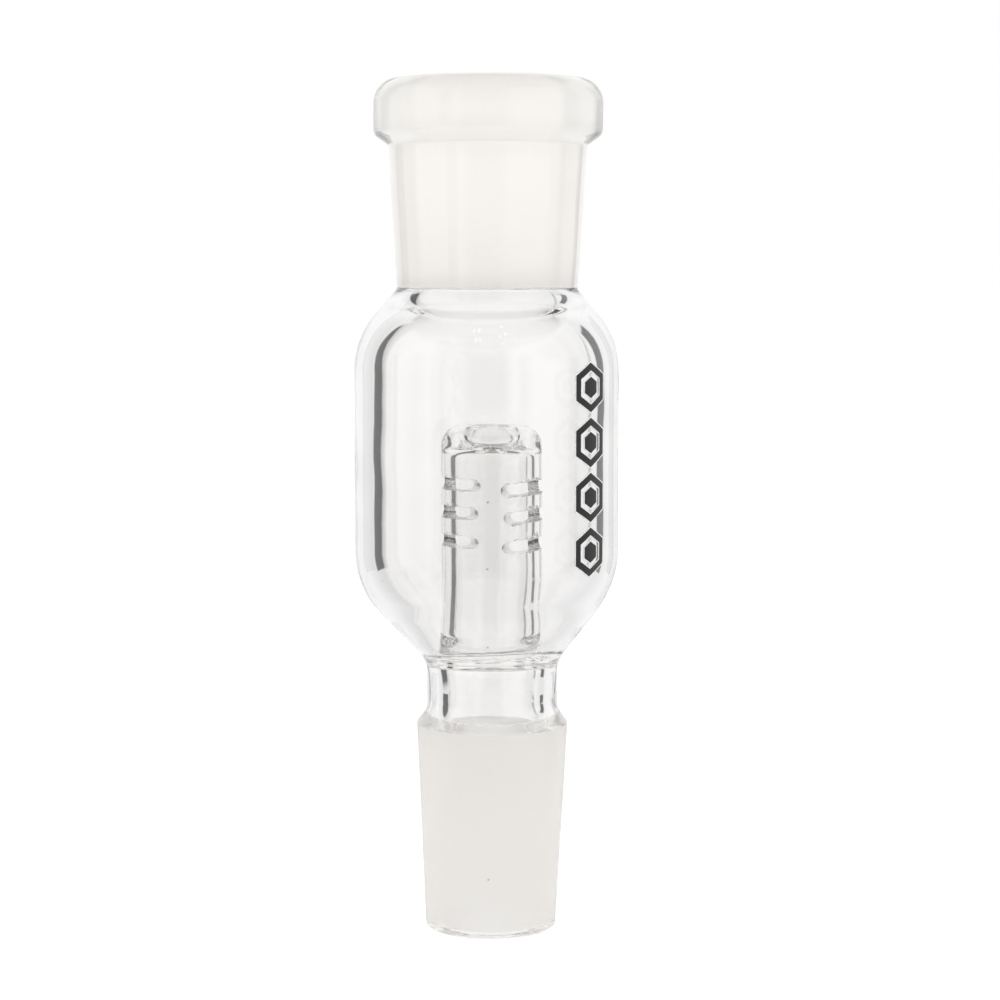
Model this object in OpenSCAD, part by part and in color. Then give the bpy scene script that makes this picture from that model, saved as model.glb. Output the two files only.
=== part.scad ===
// Inline trap adapter in clear borosilicate glass: ground socket at the top, ground cone at the bottom.
// A slotted standpipe rises inside the bulb from a ring seal at the top of the neck.
// Millimetres, +Z up along the common axis, origin at the centre of the cone's flat tip.
// Every piece is turned about the axis from its own wall section, and the pieces meet face to face.

/* [Ground joints] */
// Diameter of both ground joints at their large end
joint_d = 18.8; // [18.4:0.1:19.2]
// Length over which a ground joint's diameter changes by one
taper_run = 10; // [9:0.5:12]
// Height of the cone's shoulder above its tip
cone_h = 25.7; // [25:0.1:26.2]
// Bore through the cone
cone_bore_d = 10; // [9:0.1:10.4]
// Fire-polished bevel round the cone's tip
tip_bevel = 0.55; // [0.3:0.05:0.8]

/* [Neck] */
// Outside diameter of the neck
neck_d = 16.2; // [15.6:0.1:16.8]
// Bore of the neck
neck_bore_d = 10.7; // [10.3:0.1:11]
// Height where the neck starts to open into the bulb
neck_top = 32; // [31:0.1:33]

/* [Bulb] */
// Outside diameter of the bulb
bulb_d = 32.7; // [31.5:0.1:34]
// Wall thickness of the bulb
bulb_wall = 3.3; // [3:0.05:3.5]
// Radius of the round at the bottom of the bulb
lower_round = 12; // [11:0.1:13]
// Lean of the bulb's lower wall from upright, in degrees
lower_lean = 41; // [39:0.5:43]
// Lean of the inside of the lower wall from upright, in degrees
floor_lean = 36.5; // [35.5:0.5:39]
// Radius of the round at the top of the bulb
upper_round = 11; // [10:0.1:12]
// Lean of the bulb's shoulder from upright, in degrees
upper_lean = 42; // [40:0.5:44]
// Lean of the inside of the shoulder from upright, in degrees
bore_lean = 52; // [49:0.5:54]

/* [Socket] */
// Height where the bulb meets the socket
socket_z = 80; // [78:0.1:82]
// Overall height
total_h = 105.4; // [104:0.1:107]
// Outside diameter of the socket under its collar
socket_top_d = 24.4; // [24:0.1:25]
// Outside diameter of the socket where it meets the bulb
socket_low_d = 22.3; // [22:0.1:23]
// Outside diameter of the collar
collar_d = 28.15; // [27.5:0.05:29]
// Height of the collar
collar_h = 8.1; // [7.5:0.1:8.6]

/* [Standpipe] */
// Outside diameter of the standpipe
pipe_d = 12.5; // [12.2:0.1:12.8]
// Bore of the standpipe
pipe_bore_d = 9; // [8.6:0.1:9.4]
// Height of the standpipe's closed-in top
pipe_top = 63; // [62:0.1:65]
// Hole in the standpipe's top
pipe_hole_d = 5.4; // [4.8:0.1:5.8]
// Height of the top saw slot on the -X side
slot_z = 56; // [55.5:0.1:56.5]
// How much lower the +X side's slots are
slot_drop = 0.7; // [0:0.1:1]
// Spacing of the saw slots
slot_pitch = 3.5; // [3.2:0.1:3.6]
// Height of a saw slot
slot_h = 1.5; // [1.2:0.05:1.7]
// Number of saw slots on each side
slot_count = 3; // [1:1:3]
// How far towards the front the slots are sawn from, measured from the side, in degrees
slot_turn = 30; // [26:1:34]
// Distance from the axis to the floor of a -X slot
slot_floor_left = 3.9; // [3.7:0.05:4.2]
// Distance from the axis to the floor of a +X slot
slot_floor_right = 3.65; // [3.6:0.05:4.2]
// Slope of the saw slots on the +X side, in degrees
slot_slope = 3; // [0:1:6]

/* [Printed mark] */
// Height of the middle of the printed mark
mark_z = 58.2; // [56:0.1:60]
// Angle of the printed mark round from the front, in degrees
mark_turn = 50.8; // [0:0.1:90]
// Size of one hexagon across its corners
mark_hex_d = 6.3; // [4.6:0.1:6.4]
// Width of the printed line
mark_line = 0.95; // [0.4:0.05:1.1]
// Size of the solid hexagon inside each outline
mark_core_d = 2.6; // [1:0.1:2.6]
// Number of hexagons in the column
mark_count = 4; // [1:1:4]

/* [Hidden] */
$fn = 96;
eps = 0.01;

cone_r = joint_d / 2;
slim = 1 / (2 * taper_run);
cone_bore_r = cone_bore_d / 2;
bevel_reach = 0.8 * tip_bevel;
tip_r = cone_r - cone_h * slim - bevel_reach;
ledge_rise = 0.3;
ledge_z = cone_h + ledge_rise;
ledge_r = 6.3;
lip_r = 0.3;

neck_r = neck_d / 2;
neck_bore_r = neck_bore_d / 2;
flare_h = 2.8;
flare_z = cone_h + flare_h;
neck_fillet = 4.2;
bore_opens_z = 29.6;

bulb_r = bulb_d / 2;
lower_c = bulb_r - lower_round;
lower_run = (bulb_r - neck_r - (neck_fillet + lower_round) * (1 - cos(lower_lean))) / sin(lower_lean);
lower_z = neck_top + (neck_fillet + lower_round) * sin(lower_lean) + lower_run * cos(lower_lean);
lower_bore_round = lower_round - bulb_wall;

socket_low_r = socket_low_d / 2;
socket_top_r = socket_top_d / 2;
socket_fillet = 0.8;
upper_c = bulb_r - upper_round;
upper_run = (bulb_r - socket_low_r - (socket_fillet + upper_round) * (1 - cos(upper_lean))) / sin(upper_lean);
upper_z = socket_z - (socket_fillet + upper_round) * sin(upper_lean) - upper_run * cos(upper_lean);
upper_bore_round = upper_round - bulb_wall;
throat_top_r = 9;
throat_r = 8.08;
throat_round = 4.6;

collar_r = collar_d / 2;
collar_z = total_h - collar_h;
collar_top_round = 3;
collar_low_round = 1.6;
collar_low_rise = 2.1;
collar_lean = 48;
mouth_round = 1.5;
mouth_z = total_h - mouth_round;
ground_low_r = cone_r - (mouth_z - socket_z) * slim;

pipe_r = pipe_d / 2;
pipe_bore_r = pipe_bore_d / 2;
pipe_hole_r = pipe_hole_d / 2;
pipe_round = 2.4;
pipe_bore_round = 1.2;
hole_round = 0.5;
roof_h = 2.7;
roof_z = pipe_top - roof_h;
foot_flare = 0.75;
foot_h = 1.2;
foot_r = pipe_r + foot_flare;
foot_bore_flare = 0.95;
foot_bore_r = pipe_bore_r + foot_bore_flare;

blade_r = 25;

// Inside the ring seal the bore swells to a groove, closes to a ridge and opens again to the neck.
groove_r = 6.2;
groove_drop = 0.4;
ridge_r = 4.65;
ridge_drop = 1.87;
seal_bore_gain = 0.25;
seal_bore_r = neck_bore_r + seal_bore_gain;
seal_low_angle = 22;
seal_top_run = 0.7;

mark_film = 0.08;
mark_spacing = 1.05;
mark_pitch = mark_hex_d * mark_spacing;
film_out = bulb_r + 1;

// The bulb's inner lower wall is steeper than its outer one, and the standpipe's foot stands where it ends.
lower_bore_end = [lower_c + lower_bore_round * cos(floor_lean), lower_z - lower_bore_round * sin(floor_lean)];
foot_z = lower_bore_end.y - (lower_bore_end.x - foot_r) / tan(floor_lean);

// The bulb's inner shoulder leans in to the rounded lip of the throat.
upper_bore_end = [upper_c + upper_bore_round * cos(bore_lean), upper_z + upper_bore_round * sin(bore_lean)];
throat_z = upper_bore_end.y + (upper_bore_end.x - throat_r) / tan(bore_lean)
    + throat_round * tan(bore_lean / 2);

// Points of an arc about c, from angle a to angle b, both ends included
function arc(c, r, a, b, n = 8) = [
    for (i = [0 : n]) let (t = a + (b - a) * i / n) c + r * [cos(t), sin(t)]
];

// Points of an S-shaped blend from one radius to another, both ends included
function blend(r1, z1, r2, z2, n = 10) = [
    for (i = [0 : n]) let (t = i / n, s = (1 - cos(180 * t)) / 2) [r1 + (r2 - r1) * s, z1 + (z2 - z1) * t]
];

// Points of a flare that leaves the first radius upright and widens faster and faster
function flare(r1, z1, r2, z2, n = 10) = [
    for (i = [0 : n]) let (t = i / n) [r1 + (r2 - r1) * t * t, z1 + (z2 - z1) * t]
];

module turned(section) {
    rotate_extrude() polygon(section);
}

// Where the neck's outer fillet has leaned over by angle a
function neck_out(a) = [neck_r + neck_fillet * (1 - cos(a)), neck_top + neck_fillet * sin(a)];

// The ring seal's welds: with the neck part of the way up the fillet, with the bulb just past its end
seal_low = neck_out(seal_low_angle);
seal_high = neck_out(lower_lean) + seal_top_run * [sin(lower_lean), cos(lower_lean)];

// Ground male cone: 1 in taper_run outside, straight bore, flat tip with rounded edges
module ground_cone() {
    color([0.9, 0.89, 0.87])
        turned(concat(
            [[tip_r, 0]],
            [[cone_r - (cone_h - tip_bevel) * slim, tip_bevel]],
            [[cone_r, cone_h]],
            [[ledge_r, ledge_z]],
            arc([cone_bore_r + lip_r, ledge_z - lip_r], lip_r, 90, 180, 4),
            arc([cone_bore_r + lip_r, lip_r], lip_r, 180, 270, 4)
        ));
}

// Neck: opens out to the cone's shoulder below and starts the bulb's fillet above
module neck_tube() {
    color([0.93, 0.95, 0.95])
        turned(concat(
            [for (i = [0 : 10]) flare(neck_r, flare_z, cone_r, cone_h)[10 - i]],
            arc([neck_r + neck_fillet, neck_top], neck_fillet, 180, 180 - seal_low_angle, 4),
            [[seal_bore_r, seal_low.y]],
            [[neck_bore_r, bore_opens_z]],
            flare(neck_bore_r, flare_z, ledge_r, ledge_z)
        ));
}

// Ring seal: the thick ring where neck, bulb and standpipe are melted together
module ring_seal() {
    color([0.9, 0.92, 0.92])
        turned(concat(
            arc([neck_r + neck_fillet, neck_top], neck_fillet, 180 - seal_low_angle, 180 - lower_lean, 4),
            [seal_high],
            [[foot_r, foot_z]],
            blend(foot_bore_r, foot_z, groove_r, foot_z - groove_drop),
            blend(groove_r, foot_z - groove_drop - eps, ridge_r, foot_z - ridge_drop),
            flare(ridge_r, foot_z - ridge_drop - eps, seal_bore_r, seal_low.y)
        ));
}

// One saw slot: the edge of a round blade, with its own half-round rim
module saw_kerf() {
    rotate_extrude() {
        translate([0, -slot_h / 2]) square([blade_r - slot_h / 2, slot_h]);
        intersection() {
            translate([blade_r - slot_h / 2, 0]) circle(d = slot_h);
            translate([0, -slot_h]) square([blade_r + slot_h, 2 * slot_h]);
        }
    }
}

// Standpipe: closed-in round top with a hole, three level slots front left and three sloping ones front right
module standpipe() {
    color([0.93, 0.95, 0.95])
        difference() {
            turned(concat(
                [[foot_r, foot_z]],
                blend(foot_r, foot_z + eps, pipe_r, foot_z + foot_h),
                arc([pipe_r - pipe_round, pipe_top - pipe_round], pipe_round, 0, 90),
                arc([pipe_hole_r + hole_round, pipe_top - hole_round], hole_round, 90, 180, 5),
                arc([pipe_hole_r + lip_r, roof_z + 2 * lip_r], lip_r, 180, 270, 4),
                arc([pipe_bore_r - pipe_bore_round, roof_z - pipe_bore_round], pipe_bore_round, 90, 0),
                blend(pipe_bore_r, foot_z + foot_h, foot_bore_r, foot_z)
            ));
            for (i = [0 : slot_count - 1]) {
                translate([0, 0, slot_z - i * slot_pitch])
                    rotate([0, 0, 180 + slot_turn])
                        translate([slot_floor_left + blade_r, 0, 0]) saw_kerf();
                translate([0, 0, slot_z - slot_drop - i * slot_pitch])
                    rotate([0, -slot_slope, 0])
                        rotate([0, 0, -slot_turn])
                            translate([slot_floor_right + blade_r, 0, 0]) saw_kerf();
            }
        }
}

// Bulb: a straight barrel between a leaning lower wall and a leaning shoulder, thicker towards the throat
module bulb() {
    color([0.93, 0.95, 0.95])
        turned(concat(
            [seal_high],
            arc([lower_c, lower_z], lower_round, -lower_lean, 0, 10),
            arc([upper_c, upper_z], upper_round, 0, upper_lean, 10),
            arc([socket_low_r + socket_fillet, socket_z], socket_fillet, 180 + upper_lean, 180, 4),
            [[ground_low_r, socket_z]],
            [[throat_top_r, socket_z - lip_r]],
            arc([throat_r + throat_round, throat_z], throat_round, 180, 180 + bore_lean, 10),
            arc([upper_c, upper_z], upper_bore_round, bore_lean, 0, 10),
            arc([lower_c, lower_z], lower_bore_round, 0, -floor_lean, 10),
            [[foot_r, foot_z]]
        ));
}

// Ground female socket: the same taper inside, opening to the rounded mouth
module ground_socket() {
    color([0.95, 0.95, 0.93])
        turned(concat(
            [[ground_low_r, socket_z]],
            [[socket_low_r, socket_z]],
            [[socket_top_r, collar_z]],
            [[collar_r - collar_top_round, total_h]],
            arc([cone_r + mouth_round, mouth_z], mouth_round, 90, 180)
        ));
}

// Collar: the heavy bead round the socket's mouth, with a leaning underside and a full round on top
module rim_collar() {
    color([0.93, 0.94, 0.94])
        turned(concat(
            [[socket_top_r, collar_z]],
            arc([collar_r - collar_low_round, collar_z + collar_low_rise],
                collar_low_round, collar_lean - 90, 0, 5),
            arc([collar_r - collar_top_round, total_h - collar_top_round], collar_top_round, 0, 90)
        ));
}

// Printed mark: a column of plain hexagons in black ink, a thin film that follows the bulb's outside
module printed_mark() {
    color([0.06, 0.06, 0.07])
        rotate([0, 0, mark_turn])
            intersection() {
                turned(concat(
                    arc([lower_c, lower_z], lower_round, -lower_lean, 0, 10),
                    arc([upper_c, upper_z], upper_round, 0, upper_lean, 10),
                    arc([upper_c, upper_z], upper_round + mark_film, upper_lean, 0, 10),
                    arc([lower_c, lower_z], lower_round + mark_film, 0, -lower_lean, 10)
                ));
                for (i = [0 : mark_count - 1])
                    translate([0, 0, mark_z + (i - (mark_count - 1) / 2) * mark_pitch])
                        rotate([90, 0, 0])
                            linear_extrude(film_out) hexagon_badge();
            }
}

// Hexagon outline standing on one corner, with a small solid hexagon in its middle
module hexagon_badge() {
    difference() {
        rotate(30) circle(d = mark_hex_d, $fn = 6);
        rotate(30) circle(d = mark_hex_d - 2 * mark_line, $fn = 6);
    }
    rotate(30) circle(d = mark_core_d, $fn = 6);
}

ground_cone();
neck_tube();
ring_seal();
standpipe();
bulb();
ground_socket();
rim_collar();
printed_mark();
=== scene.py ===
"""Ground glass trap adapter: the visual model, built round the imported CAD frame. Metres, +Z up."""

import math

import bpy
import numpy as np
from mathutils import Matrix, Vector, noise
from mathutils.kdtree import KDTree


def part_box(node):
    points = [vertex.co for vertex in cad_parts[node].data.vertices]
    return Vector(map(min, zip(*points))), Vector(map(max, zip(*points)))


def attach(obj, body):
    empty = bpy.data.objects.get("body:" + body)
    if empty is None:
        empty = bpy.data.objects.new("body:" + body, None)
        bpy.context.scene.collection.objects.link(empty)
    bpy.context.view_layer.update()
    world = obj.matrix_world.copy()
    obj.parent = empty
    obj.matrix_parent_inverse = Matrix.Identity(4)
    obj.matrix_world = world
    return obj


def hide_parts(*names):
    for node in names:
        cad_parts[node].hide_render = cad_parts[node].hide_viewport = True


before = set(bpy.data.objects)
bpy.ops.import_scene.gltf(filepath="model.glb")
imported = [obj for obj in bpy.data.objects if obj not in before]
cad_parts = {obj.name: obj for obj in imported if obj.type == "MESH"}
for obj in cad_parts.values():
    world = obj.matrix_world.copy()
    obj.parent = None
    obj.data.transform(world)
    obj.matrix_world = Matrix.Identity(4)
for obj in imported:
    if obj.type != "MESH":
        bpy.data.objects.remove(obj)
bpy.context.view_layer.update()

MM = 0.001
TURNS = 224  # points round the axis
STEP = 0.28 * MM  # spacing of points along a wall section

# --- Sizes taken from the CAD model ---------------------------------------------------------

_, cone_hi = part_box("ground_cone")
neck_lo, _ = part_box("neck_tube")
seal_lo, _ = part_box("ring_seal")
pipe_lo, pipe_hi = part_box("standpipe")
_, bulb_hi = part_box("bulb")
sock_lo, sock_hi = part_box("ground_socket")
coll_lo, coll_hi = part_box("rim_collar")

CONE_R = cone_hi.x
CONE_Z = neck_lo.z
LEDGE_Z = cone_hi.z
SEAL_Z = seal_lo.z
FOOT_Z = pipe_lo.z
PIPE_TOP = pipe_hi.z
BULB_R = bulb_hi.x
SOCKET_Z = sock_lo.z
SOCKET_R = sock_hi.x
COLLAR_Z = coll_lo.z
COLLAR_R = coll_hi.x
TOP_Z = sock_hi.z

# --- Sizes that no box gives ----------------------------------------------------------------

TAPER = 1 / 20  # change of radius along a ground joint
CONE_BORE = 5.0 * MM
TIP_BEVEL = 0.55 * MM
LEDGE_R = 6.3 * MM
NECK_R = 8.1 * MM
NECK_BORE = 5.35 * MM
BORE_OPENS_Z = 29.6 * MM
SEAL_BORE = NECK_BORE + 0.25 * MM
GROOVE_R = 6.2 * MM  # the bore swells here, just under the standpipe's foot
GROOVE_DROP = 0.4 * MM
RIDGE_R = 4.65 * MM  # and closes here
RIDGE_DROP = 1.87 * MM
FLARE_H = 2.8 * MM  # height over which the neck widens to the cone
SHOULDER = 0.6 * MM  # height of the rounded edge at the top of the cone
SHOULDER_IN = 0.34 * MM
SHOULDER_BULGE = 0.45  # where the rounded edge's control point lies, as a share of its height
CONE_LIP = 0.45 * MM
CONE_CLEAR = 0.95 * MM  # the tip is fire-polished up to here
NECK_TOP = 32.0 * MM
NECK_FILLET = 4.2 * MM
LOWER_ROUND = 12.0 * MM
LOWER_LEAN = math.radians(41)
FLOOR_LEAN = math.radians(36.5)  # inside of the lower wall
SEAL_RISE = 0.7 * MM  # how far the ring seal reaches up the lower wall
UPPER_ROUND = 11.0 * MM
UPPER_LEAN = math.radians(42)
BORE_LEAN = math.radians(52)  # inside of the shoulder
BULB_WALL = 3.3 * MM
SOCKET_LOW_R = 11.15 * MM
SOCKET_FILLET = 0.8 * MM
THROAT_TOP_R = 9.0 * MM
THROAT_STEP = 0.3 * MM
THROAT_R = 8.08 * MM
THROAT_ROUND = 4.6 * MM
MOUTH_ROUND = 1.5 * MM
PIPE_R = 6.25 * MM
PIPE_BORE = 4.5 * MM
PIPE_HOLE = 2.7 * MM
PIPE_ROUND = 2.4 * MM
PIPE_BORE_ROUND = 1.2 * MM
PIPE_LIP = 0.3 * MM
HOLE_ROUND = 0.5 * MM
FOOT_H = 2.2 * MM
ROOF_H = 2.7 * MM
FOOT_BORE = PIPE_BORE + 0.95 * MM
FOOT_FILLET = 0.3 * MM
FOOT_GAIN = 0.06 * MM  # how much the standpipe's wall widens towards its foot
SLOT_Z = 56.0 * MM
SLOT_DROP = 0.7 * MM  # how much lower the +X side's slots are
SLOT_PITCH = 3.5 * MM
SLOT_H = 1.5 * MM
SLOT_TURN = math.radians(30)  # the saw came in from this far in front of the side
SLOT_SLOPE = math.radians(3)
SLOT_FLOORS_LEFT = (3.77 * MM, 4.0 * MM, 4.0 * MM)  # distance from the axis to each slot's floor
SLOT_FLOORS_RIGHT = (3.49 * MM, 3.82 * MM, 3.65 * MM)
BLADE_R = 25.0 * MM
SLOT_COUNT = 3
PIPE_SHIFT = 0.32 * MM  # run-out of the standpipe from the common axis


# --- Section curves: arrays of (radius, height) ----------------------------------------------

def line(a, b):
    """Straight run from a to b"""
    a, b = np.array(a, float), np.array(b, float)
    n = max(2, int(np.linalg.norm(b - a) / STEP) + 1)
    return a + (b - a) * np.linspace(0, 1, n)[:, None]


def arc(centre, r, start, end):
    """Arc about centre between two angles in degrees"""
    a, b = math.radians(start), math.radians(end)
    n = max(8, int(abs(b - a) * r / STEP) + 1)
    t = np.linspace(a, b, n)
    return np.array(centre, float) + r * np.stack([np.cos(t), np.sin(t)], 1)


def blend(a, b):
    """S-shaped run from a to b that leaves and arrives along the axis"""
    n = max(8, int(math.dist(a, b) / STEP) + 1)
    t = np.linspace(0, 1, n)
    s = (1 - np.cos(np.pi * t)) / 2
    return np.stack([a[0] + (b[0] - a[0]) * s, a[1] + (b[1] - a[1]) * t], 1)


def flare(a, b):
    """Run from a to b that leaves along the axis and widens faster and faster"""
    n = max(8, int(math.dist(a, b) / STEP) + 1)
    t = np.linspace(0, 1, n)
    return np.stack([a[0] + (b[0] - a[0]) * t * t, a[1] + (b[1] - a[1]) * t], 1)


def chain(*runs):
    """Joins runs end to end and drops points that coincide"""
    points = np.concatenate(runs)
    far = np.ones(len(points), bool)
    far[1:] = np.linalg.norm(np.diff(points, axis=0), axis=1) > 1e-6
    return points[far]


# --- The whole wall section, as spans that are smooth inside and meet at corners -------------
# A span is a list of (piece, finish, points). Going round: cone, outside, mouth, inside.

def lean_point(centre_r, centre_z, r, angle):
    return (centre_r + r * math.cos(angle), centre_z + r * math.sin(angle))


def cone_span():
    lip, ground_from = CONE_LIP, CONE_CLEAR
    side = CONE_R - CONE_Z * TAPER
    lean = math.degrees(math.atan(TAPER))
    edge = TIP_BEVEL
    bevel_r = side + edge * TAPER - edge
    return [
        ("ground_cone", "clear", chain(
            line((LEDGE_R, LEDGE_Z), (CONE_BORE + lip, LEDGE_Z)),
            arc((CONE_BORE + lip, LEDGE_Z - lip), lip, 90, 180),
            line((CONE_BORE, LEDGE_Z - lip), (CONE_BORE, lip)),
            arc((CONE_BORE + lip, lip), lip, 180, 270),
            line((CONE_BORE + lip, 0), (bevel_r, 0)),
            arc((bevel_r, edge), edge, 270, 360 - lean),
            line((side + edge * TAPER, edge), (side + ground_from * TAPER, ground_from)),
        )),
        ("ground_cone", "ground", line((side + ground_from * TAPER, ground_from), (CONE_R, CONE_Z))),
    ]


lower_cos, lower_sin = math.cos(LOWER_LEAN), math.sin(LOWER_LEAN)
upper_cos, upper_sin = math.cos(UPPER_LEAN), math.sin(UPPER_LEAN)
lower_run = (BULB_R - NECK_R - (NECK_FILLET + LOWER_ROUND) * (1 - lower_cos)) / lower_sin
lower_c_z = NECK_TOP + (NECK_FILLET + LOWER_ROUND) * lower_sin + lower_run * lower_cos
LOWER_C = (BULB_R - LOWER_ROUND, lower_c_z)
upper_run = (BULB_R - SOCKET_LOW_R - (SOCKET_FILLET + UPPER_ROUND) * (1 - upper_cos)) / upper_sin
upper_c_z = SOCKET_Z - (SOCKET_FILLET + UPPER_ROUND) * upper_sin - upper_run * upper_cos
UPPER_C = (BULB_R - UPPER_ROUND, upper_c_z)
GROUND_LOW_R = CONE_R - (TOP_Z - MOUTH_ROUND - SOCKET_Z) * TAPER
COLLAR_TOP_ROUND = 3.0 * MM
COLLAR_LOW_ROUND = 1.6 * MM
COLLAR_LOW_RISE = 2.1 * MM
COLLAR_UNDER = 48  # slope of the collar's underside, in degrees
CREST_R = COLLAR_R - COLLAR_TOP_ROUND


def shoulder():
    """The neck's flare from the cone upwards, with its last bit rounded over onto the cone"""
    end = np.array((CONE_R - SHOULDER_IN, CONE_Z + SHOULDER))
    over = flare((NECK_R, CONE_Z + FLARE_H), tuple(end))[::-1]
    start = np.array([CONE_R, CONE_Z])
    knee = np.array([CONE_R, CONE_Z + SHOULDER * SHOULDER_BULGE])
    t = np.linspace(0, 1, 8)[:, None]
    bend = start * (1 - t) ** 2 + knee * 2 * t * (1 - t) + end * t ** 2
    return chain(bend, over)


def outer_span():
    fillet_c = (NECK_R + NECK_FILLET, NECK_TOP)
    split = math.degrees(math.asin((SEAL_Z - NECK_TOP) / NECK_FILLET))
    lean = math.degrees(LOWER_LEAN)
    fillet_end = (fillet_c[0] - NECK_FILLET * lower_cos, NECK_TOP + NECK_FILLET * lower_sin)
    seal_high = (fillet_end[0] + SEAL_RISE * lower_sin, fillet_end[1] + SEAL_RISE * lower_cos)
    up = math.degrees(UPPER_LEAN)
    under = COLLAR_UNDER
    low_c = (COLLAR_R - COLLAR_LOW_ROUND, COLLAR_Z + COLLAR_LOW_RISE)
    low_start = lean_point(*low_c, COLLAR_LOW_ROUND, math.radians(under - 90))
    tube = arc((SOCKET_LOW_R + SOCKET_FILLET, SOCKET_Z), SOCKET_FILLET, 180 + up, 180)
    return [
        ("neck_tube", "clear", chain(
            shoulder(),
            line((NECK_R, CONE_Z + FLARE_H), (NECK_R, NECK_TOP)),
            arc(fillet_c, NECK_FILLET, 180, 180 - split),
        )),
        ("ring_seal", "clear", chain(
            arc(fillet_c, NECK_FILLET, 180 - split, 180 - lean),
            line(fillet_end, seal_high),
        )),
        ("bulb", "clear", chain(
            line(seal_high, lean_point(*LOWER_C, LOWER_ROUND, -LOWER_LEAN)),
            arc(LOWER_C, LOWER_ROUND, -lean, 0),
            line((BULB_R, LOWER_C[1]), (BULB_R, UPPER_C[1])),
            arc(UPPER_C, UPPER_ROUND, 0, up),
            line(lean_point(*UPPER_C, UPPER_ROUND, UPPER_LEAN), tube[0]),
            tube,
        )),
        ("ground_socket", "clear", line((SOCKET_LOW_R, SOCKET_Z), (SOCKET_R, COLLAR_Z))),
        ("rim_collar", "clear", chain(
            line((SOCKET_R, COLLAR_Z), low_start),
            arc(low_c, COLLAR_LOW_ROUND, under - 90, 0),
            line((COLLAR_R, low_c[1]), (COLLAR_R, TOP_Z - COLLAR_TOP_ROUND)),
            arc((CREST_R, TOP_Z - COLLAR_TOP_ROUND), COLLAR_TOP_ROUND, 0, 90),
        )),
        ("ground_socket", "clear", chain(
            line((CREST_R, TOP_Z), (CONE_R + MOUTH_ROUND, TOP_Z)),
            arc((CONE_R + MOUTH_ROUND, TOP_Z - MOUTH_ROUND), MOUTH_ROUND, 90, 180),
        )),
        ("ground_socket", "ground", line((CONE_R, TOP_Z - MOUTH_ROUND), (GROUND_LOW_R, SOCKET_Z))),
    ]


def throat_round(up_end):
    """Centre of the throat's round, and its end on the straight inside of the shoulder"""
    z = up_end[1] + (up_end[0] - THROAT_R) / math.tan(BORE_LEAN)
    centre = (THROAT_R + THROAT_ROUND, z + THROAT_ROUND * math.tan(BORE_LEAN / 2))
    return centre, lean_point(*centre, -THROAT_ROUND, BORE_LEAN)


def foot_round(low_end):
    """Centre of the fillet between the bulb's leaning floor and the standpipe, and its end on the floor"""
    floor_cos, floor_sin = math.cos(FLOOR_LEAN), math.sin(FLOOR_LEAN)
    r = PIPE_R + FOOT_GAIN + FOOT_FILLET
    z = low_end[1] + (FOOT_FILLET + (r - low_end[0]) * floor_cos) / floor_sin
    return (r, z), (r + FOOT_FILLET * floor_cos, z - FOOT_FILLET * floor_sin)


def pipe_span(foot_c):
    """The standpipe: up its outside from the foot's fillet, over the top and down its bore"""
    foot_z, foot_wall = foot_c[1], PIPE_R + FOOT_GAIN
    round_r, hole_round, lip, bore_round = PIPE_ROUND, HOLE_ROUND, PIPE_LIP, PIPE_BORE_ROUND
    roof_z = PIPE_TOP - ROOF_H
    flare_top = FOOT_Z + FOOT_H
    return chain(
        arc(foot_c, FOOT_FILLET, -90, -180),
        flare((PIPE_R, foot_z + FOOT_H), (foot_wall, foot_z))[::-1],
        line((PIPE_R, foot_z + FOOT_H), (PIPE_R, PIPE_TOP - round_r)),
        arc((PIPE_R - round_r, PIPE_TOP - round_r), round_r, 0, 90),
        arc((PIPE_HOLE + hole_round, PIPE_TOP - hole_round), hole_round, 90, 180),
        line((PIPE_HOLE, PIPE_TOP - hole_round), (PIPE_HOLE, roof_z + 2 * lip)),
        arc((PIPE_HOLE + lip, roof_z + 2 * lip), lip, 180, 270),
        arc((PIPE_BORE - bore_round, roof_z - bore_round), bore_round, 90, 0),
        line((PIPE_BORE, roof_z - bore_round), (PIPE_BORE, flare_top)),
        blend((PIPE_BORE, flare_top), (FOOT_BORE, FOOT_Z)),
    )


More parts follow.
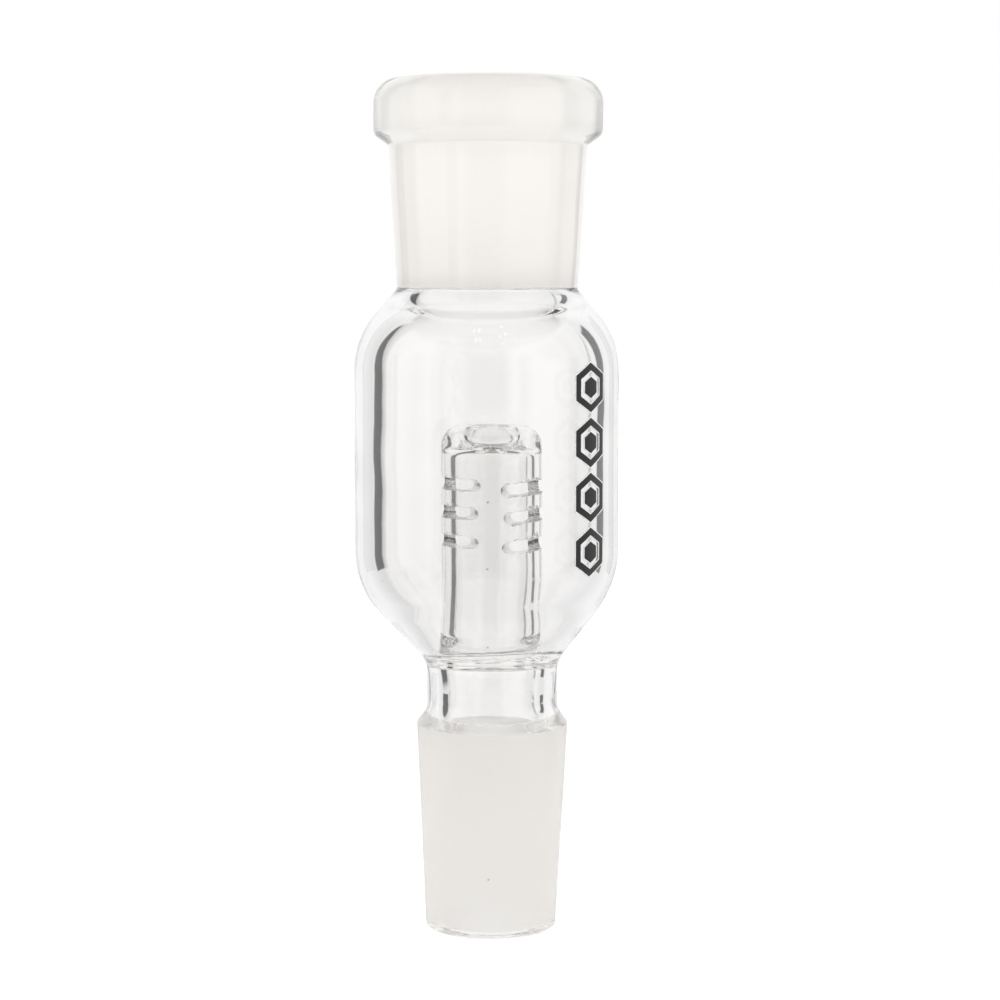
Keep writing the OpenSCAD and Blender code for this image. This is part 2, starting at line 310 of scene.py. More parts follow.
def inner_span():
    up = math.degrees(BORE_LEAN)
    lean = math.degrees(FLOOR_LEAN)
    r_up, r_low = UPPER_ROUND - BULB_WALL, LOWER_ROUND - BULB_WALL
    up_end = lean_point(*UPPER_C, r_up, BORE_LEAN)
    low_end = lean_point(*LOWER_C, r_low, -FLOOR_LEAN)
    throat_c, throat_end = throat_round(up_end)
    foot_c, touch = foot_round(low_end)
    return [
        ("bulb", "clear", chain(
            line((GROUND_LOW_R, SOCKET_Z), (THROAT_TOP_R, SOCKET_Z - THROAT_STEP)),
            line((THROAT_TOP_R, SOCKET_Z - THROAT_STEP), (THROAT_R, throat_c[1])),
            arc(throat_c, THROAT_ROUND, 180, 180 + up),
            line(throat_end, up_end),
            arc(UPPER_C, r_up, up, 0),
            line((BULB_R - BULB_WALL, UPPER_C[1]), (BULB_R - BULB_WALL, LOWER_C[1])),
            arc(LOWER_C, r_low, 0, -lean),
            line(low_end, touch),
            arc(foot_c, FOOT_FILLET, -lean, -90),
        )),
        ("standpipe", "clear", pipe_span(foot_c)),
        ("ring_seal", "clear", chain(
            blend((FOOT_BORE, FOOT_Z), (GROOVE_R, FOOT_Z - GROOVE_DROP)),
            blend((GROOVE_R, FOOT_Z - GROOVE_DROP), (RIDGE_R, FOOT_Z - RIDGE_DROP)),
            flare((RIDGE_R, FOOT_Z - RIDGE_DROP), (SEAL_BORE, SEAL_Z)),
        )),
        ("neck_tube", "clear", chain(
            line((SEAL_BORE, SEAL_Z), (NECK_BORE, BORE_OPENS_Z)),
            line((NECK_BORE, BORE_OPENS_Z), (NECK_BORE, CONE_Z + FLARE_H)),
            flare((NECK_BORE, CONE_Z + FLARE_H), (LEDGE_R, LEDGE_Z)),
        )),
    ]


# --- Hand-made shape: slow waves in the walls and a slight run-out along the axis ------------

def smooth(edge0, edge1, x):
    t = np.clip((x - edge0) / (edge1 - edge0), 0, 1)
    return t * t * (3 - 2 * t)


# The pieces were melted together slightly off the common axis, so it steps sideways along X:
# how far it starts off, then each step's size and the heights between which it happens.
AXIS_START = 0.15
CONE_STEP = (0.18, 0, 0.025)
SEAL_STEP = (-0.68, 0.033, 0.043)
SOCKET_STEPS = ((0.13, 0.075, 0.085), (0.12, 0.09, 0.105))
PIPE_STRAIGHT_Z = 0.044  # the standpipe is straight from here up


def run_out(z, is_pipe):
    """Sideways offset of the axis, along X, at height z"""
    body = AXIS_START
    for size, low, high in (CONE_STEP, SEAL_STEP, *SOCKET_STEPS):
        body = body + size * smooth(low, high, z)
    size, low, high = SEAL_STEP
    at_foot = (AXIS_START + CONE_STEP[0] + size * smooth(low, high, FOOT_Z)) * MM
    pipe = at_foot + (PIPE_SHIFT - at_foot) * smooth(FOOT_Z, PIPE_STRAIGHT_Z, z)
    return np.where(is_pipe & (z > FOOT_Z), pipe, body * MM)


SEED_INSIDE, SEED_OUTSIDE, WAVE_TERMS = 5, 11, 5


def waves(theta, z, seed, terms):
    """Slow, seamless waviness round and along a wall, about -1 to 1"""
    rng = np.random.default_rng(seed)
    total = np.zeros(np.broadcast(theta, z).shape)
    for _ in range(terms):
        turn = rng.integers(1, 4)
        pitch = rng.uniform(0.006, 0.03)
        total += np.sin(turn * theta + 2 * np.pi * z / pitch + rng.uniform(0, 6.28))
    return total / terms ** 0.5 / 1.4


SEAL_TILT = 0.05  # the ring seal was melted in slightly out of level
TILT_Z, TILT_SPREAD = 0.0358, 0.0018
WAVES_Z, WAVES_SPREAD = 0.0355, 0.0022  # where the walls wander most
WAVES_INSIDE = (0.035, 0.16)  # millimetres: everywhere, and more at the ring seal
WAVES_OUTSIDE = (0.012, 0.03)


def bell(z, middle, spread):
    return np.exp(-((z - middle) / spread) ** 2)


def wave_size(z, finish, inside):
    """How far a wall wanders: nothing on the ground tapers, most at the ring seal"""
    if finish == "ground":
        return np.zeros_like(z)
    calm = smooth(CONE_Z, CONE_Z + 1.5 * MM, z) * (1 - smooth(TOP_Z - 3 * MM, TOP_Z, z))
    base, more = WAVES_INSIDE if inside else WAVES_OUTSIDE
    return calm * (base + more * bell(z, WAVES_Z, WAVES_SPREAD)) * MM


GRAIN = 0.06 * MM
COARSE_GRAIN, FINE_GRAIN = 1.3 * MM, 0.5 * MM
GROOVE_SPREAD, RIDGE_SPREAD = 0.0006, 0.0003


def melt_grain(theta, r, z):
    """Fine lumps where the ring seal's glass ran together"""
    lumps = np.zeros(np.broadcast(theta, z).shape)
    groove, ridge = FOOT_Z - GROOVE_DROP, FOOT_Z - RIDGE_DROP
    strength = bell(z, groove, GROOVE_SPREAD) + 0.4 * bell(z, ridge, RIDGE_SPREAD)
    for i in np.nonzero(strength[:, 0] > 0.02)[0]:
        for j, t in enumerate(theta[0]):
            p = Vector((r[i, j] * math.cos(t), r[i, j] * math.sin(t), z[i, 0]))
            lumps[i, j] = noise.noise(p / COARSE_GRAIN) + 0.5 * noise.noise(p / FINE_GRAIN)
    return lumps * strength * GRAIN


def skin(points, finish, inside, is_pipe):
    """Grid of 3-D points, one row for each section point, TURNS columns"""
    theta = np.linspace(0, 2 * np.pi, TURNS, endpoint=False)[None, :]
    r, z = points[:, :1], points[:, 1:]
    size = wave_size(z, finish, inside)
    rr = r + size * waves(theta, z, SEED_INSIDE if inside else SEED_OUTSIDE, WAVE_TERMS)
    tilt = 0 * z
    if inside and finish == "clear":
        rr = rr + melt_grain(theta, rr, z)
        tilt = SEAL_TILT * bell(z, TILT_Z, TILT_SPREAD)
    x = rr * np.cos(theta) + run_out(z, is_pipe)
    y = rr * np.sin(theta)
    return np.stack([x, y, z + tilt * x], 2)


def grid_normals(grid):
    """Normals of a grid of points, towards the right-hand side of the section's direction"""
    round_way = np.roll(grid, -1, 1) - np.roll(grid, 1, 1)
    along = np.gradient(grid, axis=0)
    n = np.cross(round_way, along)
    length = np.linalg.norm(n, axis=2, keepdims=True)
    return n / np.maximum(length, 1e-12)


# --- Building the pieces ----------------------------------------------------------------------

SLOTS = ("clear", "ground", "join")  # the order of a glass piece's materials
TOUCH = 1e-7  # rows of points closer than this are one row


def collect_skins():
    """The skins of each piece, in order round the section: piece -> list of (finish, grid, normals)"""
    pieces = {}
    for number, span in enumerate((cone_span(), outer_span(), inner_span())):
        rows, labels = [], []
        for piece, finish, points in span:
            start = 0 if not rows else 1
            grid = skin(points, finish, number == 2, piece == "standpipe")
            labels.append((piece, finish, sum(map(len, rows)) - start, len(points)))
            rows.append(grid[start:])
        whole = np.concatenate(rows)
        normals = grid_normals(whole)
        for piece, finish, first, count in labels:
            part = slice(max(first, 0), max(first, 0) + count)
            pieces.setdefault(piece, []).append((finish, whole[part], normals[part]))
    return pieces


def build_mesh(name, skins, materials):
    """One closed mesh from a piece's skins; where two skins don't touch, a fused join closes the gap"""
    rows, row_of = [], []
    for finish, grid, _ in skins:
        touches = bool(rows) and np.abs(rows[-1] - grid[0]).max() < TOUCH
        first = len(rows) - 1 if touches else len(rows)
        rows.extend(grid[1:] if touches else grid)
        row_of.append(first)
    coords = np.concatenate(rows)
    faces, slots, corners = [], [], []
    cols = np.arange(TURNS)
    nxt = np.roll(cols, -1)

    def band(a, b, slot, normals_a, normals_b):
        faces.append(np.stack([a * TURNS + cols, a * TURNS + nxt, b * TURNS + nxt, b * TURNS + cols], 1))
        slots.append(np.full(TURNS, SLOTS.index(slot)))
        corners.append(np.stack([normals_a, normals_a[nxt], normals_b[nxt], normals_b], 1))

    for k, (finish, grid, normals) in enumerate(skins):
        for i in range(len(grid) - 1):
            band(row_of[k] + i, row_of[k] + i + 1, finish, normals[i], normals[i + 1])
        after = (k + 1) % len(skins)
        last, start = grid[-1], skins[after][1][0]
        if np.abs(last - start).max() > TOUCH:
            flat = np.cross(np.roll(last, -1, 0) - last, start - last)
            flat /= np.linalg.norm(flat, axis=1, keepdims=True)
            band(row_of[k] + len(grid) - 1, row_of[after], "join", flat, flat)
    mesh = bpy.data.meshes.new(name)
    mesh.from_pydata(coords.tolist(), [], np.concatenate(faces).tolist())
    for material in materials:
        mesh.materials.append(material)
    mesh.polygons.foreach_set("material_index", np.concatenate(slots).astype(np.int32))
    mesh.polygons.foreach_set("use_smooth", np.ones(len(mesh.polygons), bool))
    mesh.update()
    mesh.normals_split_custom_set(np.concatenate(corners).reshape(-1, 3).tolist())
    return mesh


def add_piece(name, mesh, cad_node):
    piece = bpy.data.objects.new(name, mesh)
    bpy.context.scene.collection.objects.link(piece)
    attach(piece, "root")
    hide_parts(cad_node)
    return piece


# --- Saw slots in the standpipe ---------------------------------------------------------------

KERF_OUT_R = 8.2 * MM  # the cutter reaches out to here,
KERF_WIDE = 7.4 * MM  # and this far to each side
KERF_ALONG, KERF_ACROSS = 0.2 * MM, 0.16 * MM  # spacing of its points
CHIP_LEFT, CHIP_RIGHT = 0.16, 0.5  # how much the edges are chipped, as a share of the slot's height
CHIP_FROM_R, CHIP_OVER = 5.3 * MM, 0.9 * MM
CHIP_GRAIN = 0.8 * MM
SCORE = 0.05 * MM
SCORE_GRAIN = (0.8 * MM, 2.5 * MM, 0.13 * MM)
SAW_GRAIN, SAW_GRAIN_SIZE = 0.012 * MM, 0.25 * MM


def kerf_section(floor):
    """U-shaped outline of a slot in a plane through the wheel's axis: (distance out, height)"""
    half = SLOT_H / 2
    flat = np.arange(floor + half, KERF_OUT_R, KERF_ALONG)
    rim = np.radians(np.linspace(-90, -270, 15)[1:-1])
    low = [(x, -half) for x in flat[::-1]]
    end = [(floor + half + half * math.cos(t), half * math.sin(t)) for t in rim]
    return low + end + [(x, half) for x in flat]


def worn(p, side, height):
    """A point of a slot's wall, moved by the score lines on its floor and the chips along its edges"""
    seat = p + Vector((0, 0, height + side))
    scored = noise.noise(Vector((seat.x / SCORE_GRAIN[0], p.y / SCORE_GRAIN[1], seat.z / SCORE_GRAIN[2])))
    grain = noise.noise_vector(seat / SAW_GRAIN_SIZE)
    chip_size = CHIP_RIGHT if side > 0 else CHIP_LEFT
    chip = max(0.0, noise.noise(seat / CHIP_GRAIN) + 0.15) * chip_size
    near_rim = min(1.0, max(0.0, (math.hypot(p.x, p.y) - CHIP_FROM_R) / CHIP_OVER))
    moved = p + Vector((-scored * SCORE, 0, 0)) + grain * SAW_GRAIN
    moved.z *= 1 + chip * near_rim
    return moved


def kerf_place(side, height):
    """Where a slot sits: the -X side's are level, the +X side's slope"""
    centre = Matrix.Translation((PIPE_SHIFT, 0, height))
    if side < 0:
        return centre @ Matrix.Rotation(math.pi + SLOT_TURN, 4, "Z")
    slope = Matrix.Rotation(-SLOT_SLOPE, 4, "Y")
    return centre @ slope @ Matrix.Rotation(-SLOT_TURN, 4, "Z")


def kerf_mesh(side, floor, height, material):
    """The space that a big wheel leaves as it saws from one side"""
    section = kerf_section(floor)
    across = np.arange(-KERF_WIDE, KERF_WIDE + 0.01 * MM, KERF_ACROSS)
    verts, faces = [], []
    for y in across:
        back = BLADE_R - math.sqrt(BLADE_R ** 2 - y * y)
        verts.extend(tuple(worn(Vector((x + back, y, z)), side, height)) for x, z in section)
    count = len(section)
    last = (len(across) - 1) * count
    for k in range(len(across) - 1):
        for i in range(count):
            j = (i + 1) % count
            faces.append((k * count + i, k * count + j, (k + 1) * count + j, (k + 1) * count + i))
    faces.append(tuple(range(count))[::-1])
    faces.append(tuple(last + i for i in range(count)))
    mesh = bpy.data.meshes.new("kerf")
    mesh.from_pydata(verts, [], faces)
    mesh.materials.append(material)
    mesh.transform(kerf_place(side, height))
    return mesh


def saw(piece, kerf):
    """Takes a closed mesh away from a piece"""
    cutter = bpy.data.objects.new("kerf", kerf)
    bpy.context.scene.collection.objects.link(cutter)
    cut = piece.modifiers.new("cut", "BOOLEAN")
    cut.object = cutter
    cut.solver = "MANIFOLD"
    cut.material_mode = "TRANSFER"
    bpy.context.view_layer.update()
    evaluated = piece.evaluated_get(bpy.context.evaluated_depsgraph_get())
    result = bpy.data.meshes.new_from_object(evaluated)
    piece.modifiers.clear()
    piece.data = result
    bpy.data.objects.remove(cutter)


def corner_tree(mesh):
    """The smooth normals of a mesh's corners, and a tree that finds the nearest corners"""
    tree = KDTree(len(mesh.loops))
    normals = [c.vector.copy() for c in mesh.corner_normals]
    for loop in mesh.loops:
        tree.insert(mesh.vertices[loop.vertex_index].co, loop.index)
    tree.balance()
    return tree, normals


def nearby_normal(point, tree, normals):
    total = Vector()
    for _, index, distance in tree.find_n(point, 6):
        total += normals[index] / (distance + 0.01 * MM)
    return total.normalized()


def restore_normals(mesh, sawn_slot, tree, normals):
    """Uncut glass keeps its old smooth normals; sawn faces are smooth among themselves"""
    sawn_normals = {}
    for polygon in mesh.polygons:
        if polygon.material_index == sawn_slot:
            for v in polygon.vertices:
                sawn_normals.setdefault(v, Vector()).__iadd__(polygon.normal * polygon.area)
    corners = []
    for polygon in mesh.polygons:
        for v in polygon.vertices:
            if polygon.material_index == sawn_slot:
                corners.append(tuple(sawn_normals[v].normalized()))
            else:
                corners.append(tuple(nearby_normal(mesh.vertices[v].co, tree, normals)))
    mesh.polygons.foreach_set("use_smooth", np.ones(len(mesh.polygons), bool))
    mesh.normals_split_custom_set(corners)


def cut_slots(piece, sawn):
    """Cuts the slots on both sides of the standpipe"""
    tree, normals = corner_tree(piece.data)
    sides = ((-1, SLOT_FLOORS_LEFT, SLOT_Z), (1, SLOT_FLOORS_RIGHT, SLOT_Z - SLOT_DROP))
    for side, floors, top_z in sides:
        for i in range(SLOT_COUNT):
            saw(piece, kerf_mesh(side, floors[i], top_z - i * SLOT_PITCH, sawn))
    mesh = piece.data
    mesh.name = piece.name
    restore_normals(mesh, [m.name for m in mesh.materials].index(sawn.name), tree, normals)


# --- Materials --------------------------------------------------------------------------------

def new_material(name):
    material = bpy.data.materials.new(name)
    material.use_nodes = True
    tree = material.node_tree
    shader = tree.nodes["Principled BSDF"]
    return material, tree, shader


def node(tree, kind, **values):
    made = tree.nodes.new(kind)
    for key, value in values.items():
        if key in made.inputs:
            made.inputs[key].default_value = value
        else:
            setattr(made, key, value)
    return made


GLASS_IOR = 1.473


def glass_base(name, tint, transmission, roughness):
    material, tree, shader = new_material(name)
    shader.inputs["Base Color"].default_value = (*tint, 1)
    shader.inputs["Transmission Weight"].default_value = transmission
    shader.inputs["IOR"].default_value = GLASS_IOR
    shader.inputs["Roughness"].default_value = roughness
    return material, tree, shader


RARE = 0.93  # this share of the cells holds no speck
COLOUR_A, COLOUR_B, COLOUR_OUT = 6, 7, 2  # sockets of a colour mix


def add_specks(tree, shader, tint, speck, scale, size):
    """Sparse tiny specks of a second colour"""
    coords = node(tree, "ShaderNodeTexCoord")
    cells = node(tree, "ShaderNodeTexVoronoi", Scale=scale)
    rare = node(tree, "ShaderNodeSeparateColor")
    chosen = node(tree, "ShaderNodeMath", operation="GREATER_THAN")
    chosen.inputs[1].default_value = RARE
    near = node(tree, "ShaderNodeMath", operation="LESS_THAN")
    near.inputs[1].default_value = size
    both = node(tree, "ShaderNodeMath", operation="MULTIPLY")
    mix = node(tree, "ShaderNodeMix", data_type="RGBA")
    mix.inputs[COLOUR_A].default_value = (*tint, 1)
    mix.inputs[COLOUR_B].default_value = (*speck, 1)
    tree.links.new(coords.outputs["Object"], cells.inputs["Vector"])
    tree.links.new(cells.outputs["Color"], rare.inputs["Color"])
    tree.links.new(rare.outputs["Red"], chosen.inputs[0])
    tree.links.new(cells.outputs["Distance"], near.inputs[0])
    tree.links.new(chosen.outputs[0], both.inputs[0])
    tree.links.new(near.outputs[0], both.inputs[1])
    tree.links.new(both.outputs[0], mix.inputs["Factor"])
    tree.links.new(mix.outputs[COLOUR_OUT], shader.inputs["Base Color"])


def add_bump(tree, shader, scale, detail, strength, distance, stretch=(1, 1, 1)):
    coords = node(tree, "ShaderNodeTexCoord")
    mapping = node(tree, "ShaderNodeMapping", Scale=stretch)
    pattern = node(tree, "ShaderNodeTexNoise", Scale=scale, Detail=detail)
    bump = node(tree, "ShaderNodeBump", Strength=strength, Distance=distance)
    tree.links.new(coords.outputs["Object"], mapping.inputs["Vector"])
    tree.links.new(mapping.outputs["Vector"], pattern.inputs["Vector"])
    tree.links.new(pattern.outputs["Fac"], bump.inputs["Height"])
    tree.links.new(bump.outputs["Normal"], shader.inputs["Normal"])


GLASS_TINT = (0.981, 0.977, 0.973)
COLLAR_TINT = (0.86, 0.86, 0.855)


def clear_glass():
    material, tree, shader = glass_base("clear_glass", GLASS_TINT, 1, 0)
    add_specks(tree, shader, GLASS_TINT, (0.25, 0.24, 0.22), 330, 0.045)
    add_bump(tree, shader, 260, 2, 0.02, 0.0004)
    return material


def collar_glass():
    """Clear, but fire-polished over fine lathe marks, so that what lies behind it is blurred"""
    material, tree, shader = glass_base("collar_glass", COLLAR_TINT, 1, 0.16)
    add_specks(tree, shader, COLLAR_TINT, (0.3, 0.29, 0.27), 420, 0.06)
    add_bump(tree, shader, 700, 3, 0.25, 0.0002, (0.12, 0.12, 2.2))
    return material


def paint_backlight_on_frosting(tree, shader):
    """Painted light: frosting seen through the glass is lit from behind, so its back faces get a paler
    colour than its outside
    """
    outside = shader.inputs["Base Color"].links[0].from_socket
    side = node(tree, "ShaderNodeNewGeometry")
    painted_backlight = node(tree, "ShaderNodeMix", data_type="RGBA")
    # painted light: a near-white colour for the back faces, standing in for light from behind
    painted_backlight.inputs[COLOUR_B].default_value = (1, 0.988, 0.97, 1)
    tree.links.new(side.outputs["Backfacing"], painted_backlight.inputs["Factor"])
    tree.links.new(outside, painted_backlight.inputs[COLOUR_A])
    tree.links.new(painted_backlight.outputs[COLOUR_OUT], shader.inputs["Base Color"])


def ground_glass():
    """The cone's frosting: fine-grained and nearly opaque, with painted light on its back faces"""
    tint = (0.735, 0.716, 0.69)
    material, tree, shader = glass_base("ground_glass", tint, 0.5, 0.85)
    add_specks(tree, shader, tint, (0.4, 0.39, 0.36), 300, 0.04)
    # painted light: the back faces are paler, for the light that comes through the glass from behind
    paint_backlight_on_frosting(tree, shader)
    add_bump(tree, shader, 9000, 3, 0.2, 0.00005)
    return material


def painted_light_socket_glass():
    """The socket's frosting, which is seen through its clear wall: tinted near white, paler than the
    cone's, as painted light from behind
    """
    # painted light: a near-white tint for frosting lit through the glass from behind
    tint = (0.985, 0.963, 0.935)
    material, tree, shader = glass_base("socket_ground_glass_painted_light", tint, 0.15, 0.9)
    add_specks(tree, shader, tint, (0.4, 0.39, 0.36), 300, 0.045)
    add_bump(tree, shader, 9000, 3, 0.2, 0.00005)
    return material


def sawn_glass():
    """Rough from the wheel, with fine scores along the cut"""
    material, tree, shader = glass_base("sawn_glass", (0.93, 0.93, 0.925), 1, 0.2)
    add_bump(tree, shader, 3000, 2, 0.35, 0.00008, (1, 1, 0.15))
    return material


def fused_join():
    """For faces where two pieces are one body of glass: light goes straight through"""
    material, tree, shader = new_material("fused_join")
    clear = node(tree, "ShaderNodeBsdfTransparent")
    out = tree.nodes["Material Output"]
    tree.links.new(clear.outputs["BSDF"], out.inputs["Surface"])
    tree.nodes.remove(shader)
    return material


def ink(name, colour):
    """Satin print with a fine mottle"""
    material, tree, shader = new_material(name)
    coords = node(tree, "ShaderNodeTexCoord")
    mottle = node(tree, "ShaderNodeTexNoise", Scale=4000, Detail=2)
    ramp = node(tree, "ShaderNodeValToRGB")
    ramp.color_ramp.elements[0].position = 0.3
    ramp.color_ramp.elements[0].color = (*(c * 0.8 for c in colour), 1)
    ramp.color_ramp.elements[1].position = 0.75
    ramp.color_ramp.elements[1].color = (*(c * 1.25 for c in colour), 1)
    tree.links.new(coords.outputs["Object"], mottle.inputs["Vector"])
    tree.links.new(mottle.outputs["Fac"], ramp.inputs["Fac"])
    tree.links.new(ramp.outputs["Color"], shader.inputs["Base Color"])
    shader.inputs["Roughness"].default_value = 0.32
    return material


# --- Printed mark: plain hexagons that follow the outside of the bulb ---------------------------

MARK_TURN = math.radians(50)
MARK_Z = 58.2 * MM
MARK_COUNT = 4
MARK_HEX = 3.15 * MM  # centre to corner
MARK_PITCH = MARK_HEX * 2.1
MARK_LINE = 0.95 * MM
MARK_CORE = 1.3 * MM
HALO = 0.16 * MM
FILM_IN, FILM_OUT = -0.02 * MM, 0.06 * MM


def on_bulb(u, v, lift):
    """Point on the bulb's outside: u round from the mark's middle line, v up, lift outwards"""
    theta = MARK_TURN - math.pi / 2 + u / BULB_R
    profile = bulb_profile()
    r = np.interp(v, profile[:, 1], profile[:, 0]) + lift
    r = r + wave_size(v, "clear", False) * waves(theta, v, SEED_OUTSIDE, WAVE_TERMS)
    return np.stack([r * np.cos(theta) + run_out(v, False), r * np.sin(theta), v], -1)


def bulb_profile():
    points = [span for span in outer_span() if span[0] == "bulb"][0][2]
    return points[np.argsort(points[:, 1])]


def hexagon(radius, count):
    """Outline of a hexagon that stands on a corner, with count points on each side"""
    turns = [math.radians(60 * k) for k in range(7)]
    corners = [(radius * math.sin(t), radius * math.cos(t)) for t in turns]
    sides = [np.linspace(a, b, count, endpoint=False) for a, b in zip(corners, corners[1:])]
    return np.concatenate(sides)


def print_band(outer, inner, height, slot):
    """A closed film between two hexagons, or a full one where inner is 0"""
    radii = np.linspace(outer, max(inner, 0.02 * MM), 6)
    loops = [hexagon(r, 10) for r in radii]
    top = [on_bulb(-p[:, 0], p[:, 1] + height, FILM_OUT) for p in loops]
    under = [on_bulb(-p[:, 0], p[:, 1] + height, FILM_IN) for p in loops[::-1]]
    rows = top + under
    count = len(loops[0])
    verts = np.concatenate(rows)
    faces = []
    for k in range(len(rows)):
        after = (k + 1) % len(rows)
        for i in range(count):
            j = (i + 1) % count
            faces.append((k * count + i, k * count + j, after * count + j, after * count + i))
    return verts, faces, slot


def mark_mesh(black, grey):
    parts = []
    for i in range(MARK_COUNT):
        height = MARK_Z + (i - (MARK_COUNT - 1) / 2) * MARK_PITCH
        inside = MARK_HEX - MARK_LINE * 2 / 3 ** 0.5
        parts.append(print_band(MARK_HEX - HALO, inside, height, 0))
        parts.append(print_band(MARK_HEX, MARK_HEX - HALO, height, 1))
        parts.append(print_band(inside, inside - HALO, height, 1))
        parts.append(print_band(MARK_CORE, 0, height, 0))
        parts.append(print_band(MARK_CORE + HALO, MARK_CORE, height, 1))
    mesh = bpy.data.meshes.new("hexagon_print")
    verts, faces, slots = [], [], []
    for part_verts, part_faces, slot in parts:
        start = len(verts)
        verts.extend(part_verts.tolist())
        faces.extend(tuple(start + i for i in face) for face in part_faces)
        slots.extend([slot] * len(part_faces))
    mesh.from_pydata(verts, [], faces)
    mesh.materials.append(black)
    mesh.materials.append(grey)
    mesh.polygons.foreach_set("material_index", slots)
    mesh.update()
    return mesh


# --- Making the pieces ------------------------------------------------------------------------

GROUND_SLOT, CLEAR_SLOT = "ground_glass", "clear_glass"
CLEAR, JOIN, COLLAR = clear_glass(), fused_join(), collar_glass()
# the socket's frosting carries painted light: a near-white tint for the light from behind
CONE_GROUND, SOCKET_GROUND_PAINTED_LIGHT = ground_glass(), painted_light_socket_glass()
LOOKS = {
    "ground_cone": (CLEAR, CONE_GROUND, GROUND_SLOT),
    "neck_tube": (CLEAR, CONE_GROUND, CLEAR_SLOT),
    "ring_seal": (CLEAR, CONE_GROUND, CLEAR_SLOT),
    "standpipe": (CLEAR, CONE_GROUND, CLEAR_SLOT),
    "bulb": (CLEAR, CONE_GROUND, CLEAR_SLOT),
    "ground_socket": (CLEAR, SOCKET_GROUND_PAINTED_LIGHT, GROUND_SLOT),
    "rim_collar": (COLLAR, SOCKET_GROUND_PAINTED_LIGHT, CLEAR_SLOT),
}
made = {}
for piece_name, skins in collect_skins().items():
    clear, ground, slot_name = LOOKS[piece_name]
    mesh = build_mesh(piece_name + "_glass", skins, [clear, ground, JOIN])
    made[piece_name] = add_piece(piece_name + "_glass", mesh, piece_name)
cut_slots(made["standpipe"], sawn_glass())
black = ink("black_ink", (0.012, 0.012, 0.014))
grey = ink("grey_ink", (0.55, 0.55, 0.54))
mark = add_piece("hexagon_print", mark_mesh(black, grey), "printed_mark")


# --- Camera, floor and light ------------------------------------------------------------------

CAMERA_AWAY = 0.3297  # metres in front of the axis
CAMERA_UP = 0.0845
CAMERA_SIDE = 0.00132
CAMERA_DOWN = math.radians(5.355)
FLOOR_GLOW = 0.88


def make_camera():
    data = bpy.data.cameras.new("camera")
    data.lens = 96
    data.sensor_width = 36
    data.clip_start = 0.01
    camera = bpy.data.objects.new("camera", data)
    camera.location = (CAMERA_SIDE, -CAMERA_AWAY, CAMERA_UP)
    camera.rotation_euler = (math.pi / 2 - CAMERA_DOWN, 0, 0)
    bpy.context.scene.collection.objects.link(camera)
    bpy.context.scene.camera = camera


def make_floor():
    """Pale floor for the camera only: it would tint the glass, so refraction and reflection miss it"""
    bpy.ops.mesh.primitive_plane_add(size=8)
    floor = bpy.context.object
    floor.name = "floor"
    material, _, shader = new_material("floor")
    shader.inputs["Base Color"].default_value = (0.2, 0.2, 0.2, 1)
    shader.inputs["Emission Color"].default_value = (1, 1, 1, 1)
    shader.inputs["Emission Strength"].default_value = FLOOR_GLOW
    shader.inputs["Specular IOR Level"].default_value = 0
    shader.inputs["Roughness"].default_value = 1
    floor.data.materials.append(material)
    floor.visible_transmission = False
    floor.visible_glossy = False
    floor.visible_diffuse = False


# The studio is white all round, with dark upright flags that draw the edges of the glass. Bearings
# run from +Y towards +X and elevations from the horizon up, both in degrees.
# Each flag: bearing, half width, lower and upper edge, darkness, softness of the sides and the top,
# softness of the lower edge.
FLAGS = (
    (-54, 10, -14.6, 45, 0.88, 1.5, 0.4),  # the strong line down the left of each tube
    (40.5, 6.5, -14.6, 25, 0.86, 1.5, 0.4),  # and down the right
    (-54, 20, -60, 60, 0.25, 20, 0.8),  # faint shade round them
    (40.5, 16, -60, 60, 0.15, 16, 0.8),
    (-137.5, 6.5, -24, 40, 0.8, 1.5, 0.8),
    (90, 13, -24, 40, 0.5, 5, 0.8),
    (182, 23, -24, 45, 0.8, 8, 0.8),  # behind the camera
    (-96, 9, -40, -16, 0.8, 1.5, 0.8),
)
LAMPS = (  # small bright panels behind the camera, seen as highlights
    (157, 1.5, 49, 52, 4, 0.6, 0.8),
    (157, 1.5, 60, 63, 4, 0.6, 0.8),
    (-164, 1.2, 54, 59, 4, 0.6, 0.8),
    (-171, 1.2, 54, 59, 4, 0.6, 0.8),
)
CEILING = (41, 46, 0.82)  # it darkens between these elevations, by this much
GROUND = (-1, -8, 0.05)
FILL = 1.6  # brightness of the white for everything that scatters light


def math_node(tree, operation, *values):
    made = tree.nodes.new("ShaderNodeMath")
    made.operation = operation
    for socket, value in zip(made.inputs, values):
        if isinstance(value, (int, float)):
            socket.default_value = value
        else:
            tree.links.new(value, socket)
    return made.outputs[0]


def ramp(tree, value, low, high):
    """Smooth rise from 0 at low to 1 at high, or fall where low is the larger"""
    made = tree.nodes.new("ShaderNodeMapRange")
    made.interpolation_type = "SMOOTHSTEP"
    made.inputs["From Min"].default_value = low
    made.inputs["From Max"].default_value = high
    tree.links.new(value, made.inputs["Value"])
    return made.outputs["Result"]


def panel(tree, azimuth, elevation, az, half, low, high, strength, soft, edge):
    """Upright rectangle in the sky, with soft edges"""
    turn = math_node(tree, "WRAP", math_node(tree, "SUBTRACT", azimuth, az), 180, -180)
    side = ramp(tree, math_node(tree, "ABSOLUTE", turn), half + soft, half - soft)
    above = ramp(tree, elevation, low - edge, low + edge)
    below = ramp(tree, elevation, high + soft, high - soft)
    shape = math_node(tree, "MULTIPLY", math_node(tree, "MULTIPLY", side, above), below)
    return math_node(tree, "MULTIPLY", shape, strength)


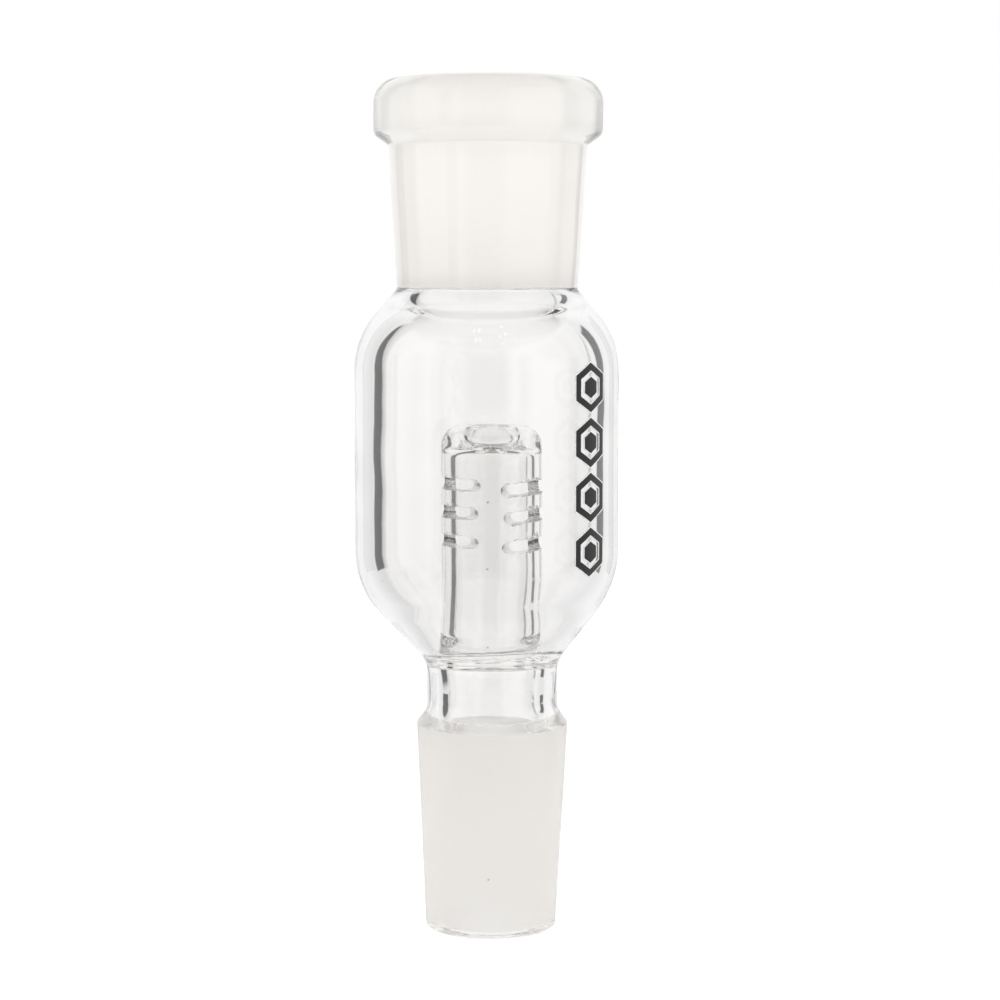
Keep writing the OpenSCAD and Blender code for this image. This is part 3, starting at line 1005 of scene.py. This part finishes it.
def studio_light(tree):
    """Brightness of the studio in each direction"""
    coords = tree.nodes.new("ShaderNodeTexCoord")
    split = tree.nodes.new("ShaderNodeSeparateXYZ")
    tree.links.new(coords.outputs["Generated"], split.inputs[0])
    x, y, z = split.outputs
    azimuth = math_node(tree, "MULTIPLY", math_node(tree, "ARCTAN2", x, y), 180 / math.pi)
    elevation = math_node(tree, "MULTIPLY", math_node(tree, "ARCSINE", z), 180 / math.pi)
    light = 1
    for row in FLAGS:
        dark = panel(tree, azimuth, elevation, *row)
        light = math_node(tree, "MULTIPLY", light, math_node(tree, "SUBTRACT", 1, dark))
    level = 1
    for start, end, darkness in (CEILING, GROUND):
        shade = math_node(tree, "MULTIPLY", ramp(tree, elevation, start, end), darkness)
        level = math_node(tree, "SUBTRACT", level, shade)
    light = math_node(tree, "MULTIPLY", light, level)
    for row in LAMPS:
        light = math_node(tree, "ADD", light, panel(tree, azimuth, elevation, *row))
    return light


def make_world():
    """Glass sees the studio with its flags; frosting and print see an even white; the backdrop is plain"""
    world = bpy.data.worlds.new("studio")
    bpy.context.scene.world = world
    world.use_nodes = True
    tree = world.node_tree
    tree.nodes.clear()
    path = tree.nodes.new("ShaderNodeLightPath")
    scattered = math_node(tree, "GREATER_THAN", path.outputs["Diffuse Depth"], 0.5)
    clear = math_node(tree, "SUBTRACT", 1, scattered)
    light = math_node(tree, "ADD", math_node(tree, "MULTIPLY", studio_light(tree), clear),
                      math_node(tree, "MULTIPLY", scattered, FILL))
    back = tree.nodes.new("ShaderNodeBackground")
    tree.links.new(light, back.inputs["Strength"])
    back.inputs["Color"].default_value = (1, 1, 1, 1)
    plain = tree.nodes.new("ShaderNodeBackground")
    plain.inputs["Color"].default_value = (1, 1, 1, 1)
    mix = tree.nodes.new("ShaderNodeMixShader")
    out = tree.nodes.new("ShaderNodeOutputWorld")
    tree.links.new(path.outputs["Is Camera Ray"], mix.inputs[0])
    tree.links.new(back.outputs[0], mix.inputs[1])
    tree.links.new(plain.outputs[0], mix.inputs[2])
    tree.links.new(mix.outputs[0], out.inputs["Surface"])


def set_cycles():
    scene = bpy.context.scene
    scene.cycles.max_bounces = 32
    scene.cycles.transmission_bounces = 32
    scene.cycles.glossy_bounces = 16
    scene.cycles.transparent_max_bounces = 32
    scene.cycles.diffuse_bounces = 12
    scene.cycles.use_denoising = True
    scene.view_settings.view_transform = "Standard"


make_camera()
make_floor()
make_world()
set_cycles()
